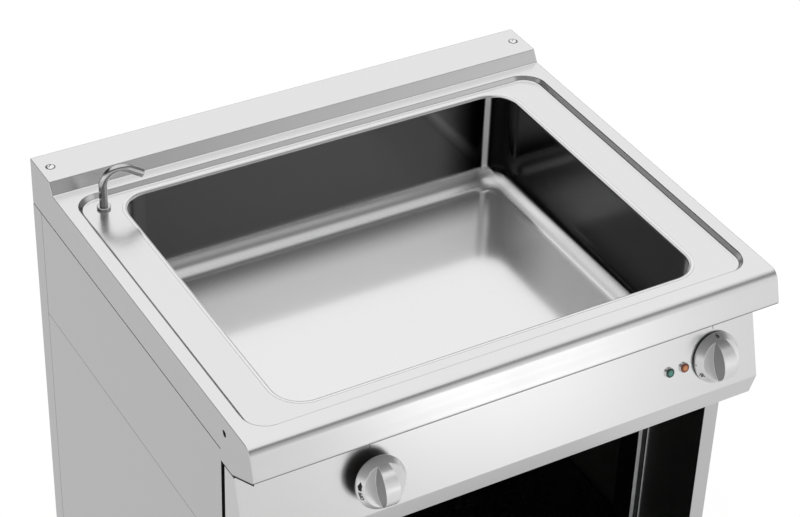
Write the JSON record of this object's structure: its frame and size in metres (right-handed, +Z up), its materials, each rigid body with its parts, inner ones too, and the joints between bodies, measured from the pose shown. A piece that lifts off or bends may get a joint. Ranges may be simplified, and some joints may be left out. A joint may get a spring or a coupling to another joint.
{
  "type": "bain marie",
  "caption": "Electric bain marie with a recessed deep basin, filling spout, slanted control panel with knobs and pilot lamps, and an open base cabinet on adjustable legs.",
  "frame": {"origin": "on the floor under the middle of the object's bounding box", "axes": "+X to the user's right, +Y to the rear, +Z up"},
  "size_m": [0.8, 0.7158, 0.9095],
  "materials": {
    "top_steel": "fine satin brush along the width",
    "basin_steel": "satin, brighter at the rolled lip",
    "panel_steel": "fine satin brush along the width",
    "side_steel": "fine satin brush, upright",
    "zinc_sheet": "dull galvanised sheet",
    "leg_steel": "satin turned",
    "screw_steel": "bright plated",
    "element_sheath": "dark heat-stained sheath",
    "chrome_trim": "polished",
    "knob_silver": "silver-grey satin moulding",
    "black_plastic": "satin black",
    "ivory_moulding": "phenolic moulding",
    "red_plastic": "soft gloss",
    "lens_green": "clear tinted lens, unlit",
    "lens_orange": "clear tinted lens, unlit",
    "copper": "drawn copper",
    "brass": "turned",
    "valve_nickel": "nickel-plated, satin",
    "gasket_rubber": "matt"
  },
  "bodies": {
    "body": {"base_back": "zinc_sheet", "base_front_rail": "side_steel", "base_shelf": "side_steel", "base_side_left": "side_steel", "base_side_right": "side_steel", "basin": "basin_steel", "cable_gland": "black_plastic", "capillary_tubes": "copper", "compartment_floor": "zinc_sheet", "component_plate": "zinc_sheet", "control_panel": "panel_steel", "drain_gasket": "gasket_rubber", "drain_nozzle": "valve_nickel", "drain_nut": "valve_nickel", "drain_outlet": "valve_nickel", "drain_valve_body": "valve_nickel", "heater_clamps": "zinc_sheet", "heater_nuts": "screw_steel", "heater_studs": "screw_steel", "heating_element": "element_sheath", "inlet_pipe": "copper", "lamp_bezels": "chrome_trim", "lamp_bodies": "black_plastic", "lamp_lens_green": "lens_green", "lamp_lens_orange": "lens_orange", "leg_sleeves": "leg_steel", "outlet_pipe": "copper", "panel_screws": "screw_steel", "rear_panel": "zinc_sheet", "rear_post_left": "side_steel", "rear_post_right": "side_steel", "rear_screws": "screw_steel", "safety_thermostat": "ivory_moulding", "side_panel_left": "side_steel", "side_panel_right": "side_steel", "side_stiffeners": "side_steel", "spout": "chrome_trim", "spout_nut": "chrome_trim", "terminal_block": "ivory_moulding", "thermostat_body": "ivory_moulding", "thermostat_ring": "black_plastic", "upstand_screws": "screw_steel", "water_inlet": "brass", "water_valve_body": "brass", "water_valve_locknut": "brass", "wiring_loom": "black_plastic", "worktop": "top_steel"},
    "thermostat_knob": {"thermostat_knob": "knob_silver", "thermostat_spindle": "screw_steel"},
    "water_knob": {"water_knob": "knob_silver", "water_spindle": "brass"},
    "drain_handle": {"drain_lever": "zinc_sheet", "drain_lever_grip": "red_plastic", "drain_stem": "valve_nickel", "drain_ball": "chrome_trim"},
    "reset_button": {"reset_button": "red_plastic"},
    "foot_front_left": {"foot_front_left": "leg_steel"},
    "foot_front_right": {"foot_front_right": "leg_steel"},
    "foot_rear_left": {"foot_rear_left": "leg_steel"},
    "foot_rear_right": {"foot_rear_right": "leg_steel"}
  },
  "joints": [
    {"name": "thermostat_turn", "type": "hinge", "parent": "body", "child": "thermostat_knob", "pos_m": [0.3315, -0.30484, 0.7106], "axis": [0, 0.9598, -0.2807], "range_deg": [0, 270]},
    {"name": "water_turn", "type": "hinge", "parent": "body", "child": "water_knob", "pos_m": [-0.209, -0.30484, 0.7106], "axis": [0, 0.9598, -0.2807], "range_deg": [0, 90]},
    {"name": "drain_turn", "type": "hinge", "parent": "body", "child": "drain_handle", "pos_m": [-0.2015, -0.18557, 0.55], "axis": [0, 1, 0], "range_deg": [0, 90]},
    {"name": "reset_push", "type": "slide", "parent": "body", "child": "reset_button", "axis": [0, 0, 1], "range_m": [0, 0.0025], "stiffness_N_per_m": 400, "springref_m": -0.001},
    {"name": "foot_screw_front_left", "type": "slide", "parent": "body", "child": "foot_front_left", "axis": [0, 0, -1], "range_m": [0, 0.04]},
    {"name": "foot_screw_front_right", "type": "slide", "parent": "body", "child": "foot_front_right", "axis": [0, 0, -1], "range_m": [0, 0.04]},
    {"name": "foot_screw_rear_left", "type": "slide", "parent": "body", "child": "foot_rear_left", "axis": [0, 0, -1], "range_m": [0, 0.04]},
    {"name": "foot_screw_rear_right", "type": "slide", "parent": "body", "child": "foot_rear_right", "axis": [0, 0, -1], "range_m": [0, 0.04]}
  ]
}
